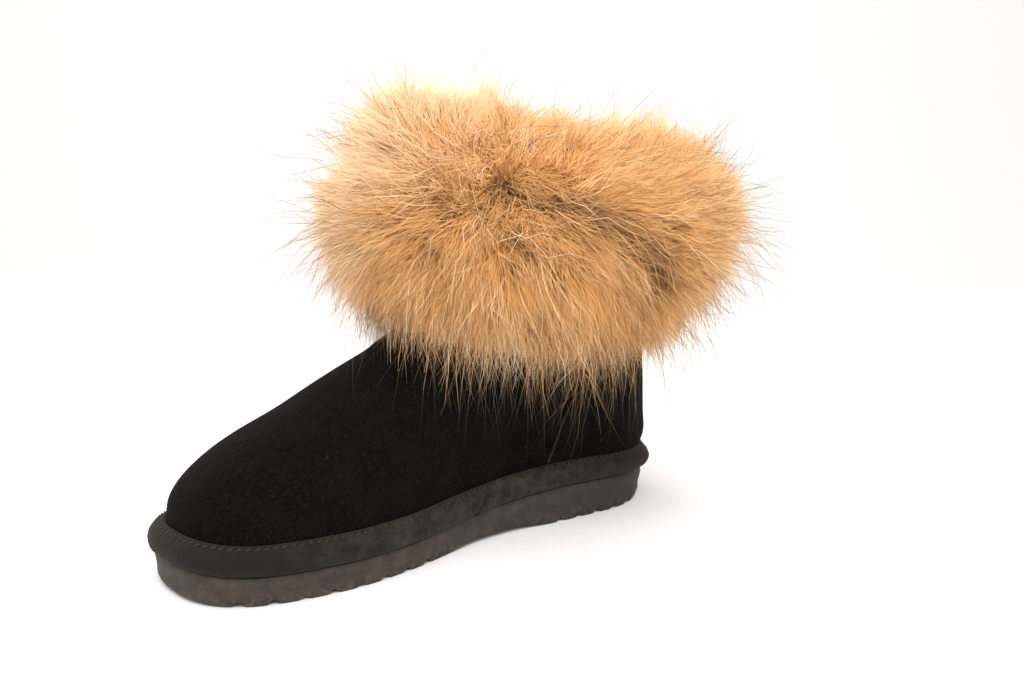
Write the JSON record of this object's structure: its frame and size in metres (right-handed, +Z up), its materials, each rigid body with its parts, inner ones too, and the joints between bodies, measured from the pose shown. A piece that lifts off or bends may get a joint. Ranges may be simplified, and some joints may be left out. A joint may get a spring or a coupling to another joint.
{
  "type": "sheepskin ankle boot",
  "caption": "Short round-toed sheepskin ankle boot with a deep fur cuff, a binding strip and a low ribbed foam sole, right foot.",
  "frame": {"origin": "on the floor, on the tread rib under the middle of the heel's seat", "axes": "+X towards the heel, so the toe points to -X; +Y towards the outer side of the foot; +Z up from the floor"},
  "size_m": [0.3182, 0.2185, 0.2101],
  "materials": {
    "outsole": "matt black foam",
    "binding": "dark grey brushed microfibre",
    "suede": "black suede",
    "fleece": "dark woollen pile",
    "fur": "long ginger fur with pale tips"
  },
  "bodies": {
    "root": {"outsole": "outsole", "binding": "binding", "upper": "suede", "insole": "fleece", "fur_cuff": "fur"}
  },
  "joints": []
}
